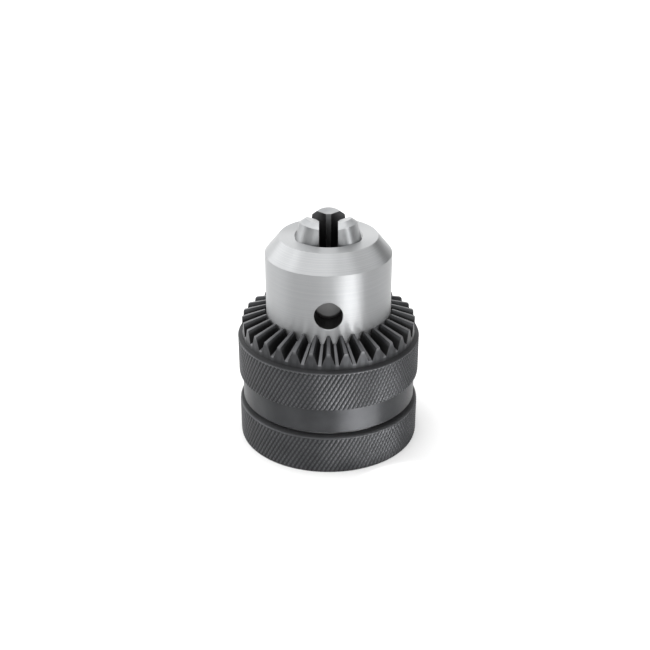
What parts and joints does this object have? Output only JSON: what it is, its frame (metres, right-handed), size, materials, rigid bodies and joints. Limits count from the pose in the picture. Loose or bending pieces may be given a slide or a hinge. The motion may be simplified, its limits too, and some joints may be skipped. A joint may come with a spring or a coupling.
{
  "type": "drill chuck",
  "caption": "Keyed drill chuck: turned steel nose with key holes, toothed knurled sleeve that turns a split nut, inclined sliding jaws, thrust ball bearing and knurled rear ring.",
  "frame": {"origin": "centre of the rear face, on the spindle axis", "axes": "+Z along the spindle axis towards the jaws, -Y towards one key hole, +Y towards jaw_1"},
  "size_m": [0.043, 0.043, 0.0549],
  "materials": {
    "bright_steel": "satin turned steel",
    "jaw_steel": "ground hardened steel",
    "black_oxide": "black oxide, semi-gloss",
    "nut_steel": "oiled steel",
    "bearing_steel": "polished bearing steel",
    "cage_brass": "satin brass"
  },
  "bodies": {
    "chuck_body": {"body": "bright_steel", "rear_ring": "black_oxide", "lower_race": "bearing_steel"},
    "sleeve": {"toothed_sleeve": "black_oxide", "nut_half_a": "nut_steel", "nut_half_b": "nut_steel", "upper_race": "bearing_steel"},
    "bearing": {"ball_cage": "cage_brass", "ball_01": "bearing_steel", "ball_02": "bearing_steel", "ball_03": "bearing_steel", "ball_04": "bearing_steel", "ball_05": "bearing_steel", "ball_06": "bearing_steel", "ball_07": "bearing_steel", "ball_08": "bearing_steel", "ball_09": "bearing_steel", "ball_10": "bearing_steel", "ball_11": "bearing_steel", "ball_12": "bearing_steel", "ball_13": "bearing_steel", "ball_14": "bearing_steel", "ball_15": "bearing_steel", "ball_16": "bearing_steel", "ball_17": "bearing_steel", "ball_18": "bearing_steel", "ball_19": "bearing_steel", "ball_20": "bearing_steel", "ball_21": "bearing_steel", "ball_22": "bearing_steel", "ball_23": "bearing_steel", "ball_24": "bearing_steel", "ball_25": "bearing_steel", "ball_26": "bearing_steel", "ball_27": "bearing_steel", "ball_28": "bearing_steel", "ball_29": "bearing_steel", "ball_30": "bearing_steel"},
    "jaw_1": {"jaw_1": "jaw_steel"},
    "jaw_2": {"jaw_2": "jaw_steel"},
    "jaw_3": {"jaw_3": "jaw_steel"}
  },
  "joints": [
    {"name": "sleeve_spin", "type": "hinge", "parent": "chuck_body", "child": "sleeve", "pos_m": [0, 0, 0.022], "axis": [0, 0, 1], "range_deg": [-1335, 2058]},
    {"name": "cage_spin", "type": "hinge", "parent": "chuck_body", "child": "bearing", "pos_m": [0, 0, 0.01625], "axis": [0, 0, 1], "range_deg": [-667.5, 1029]},
    {"name": "jaw_1_slide", "type": "slide", "parent": "chuck_body", "child": "jaw_1", "axis": [0, -0.2588, 0.9659], "range_m": [-0.01429, 0.00927]},
    {"name": "jaw_2_slide", "type": "slide", "parent": "chuck_body", "child": "jaw_2", "axis": [0.2241, 0.1294, 0.9659], "range_m": [-0.01429, 0.00927]},
    {"name": "jaw_3_slide", "type": "slide", "parent": "chuck_body", "child": "jaw_3", "axis": [-0.2241, 0.1294, 0.9659], "range_m": [-0.01429, 0.00927]}
  ],
  "couplings": [
    {"joint": "cage_spin", "follows": "sleeve_spin", "ratio": 0.5},
    {"joint": "jaw_1_slide", "follows": "sleeve_spin", "m_per_rad": -0.00039789},
    {"joint": "jaw_2_slide", "follows": "sleeve_spin", "m_per_rad": -0.00039789},
    {"joint": "jaw_3_slide", "follows": "sleeve_spin", "m_per_rad": -0.00039789}
  ]
}
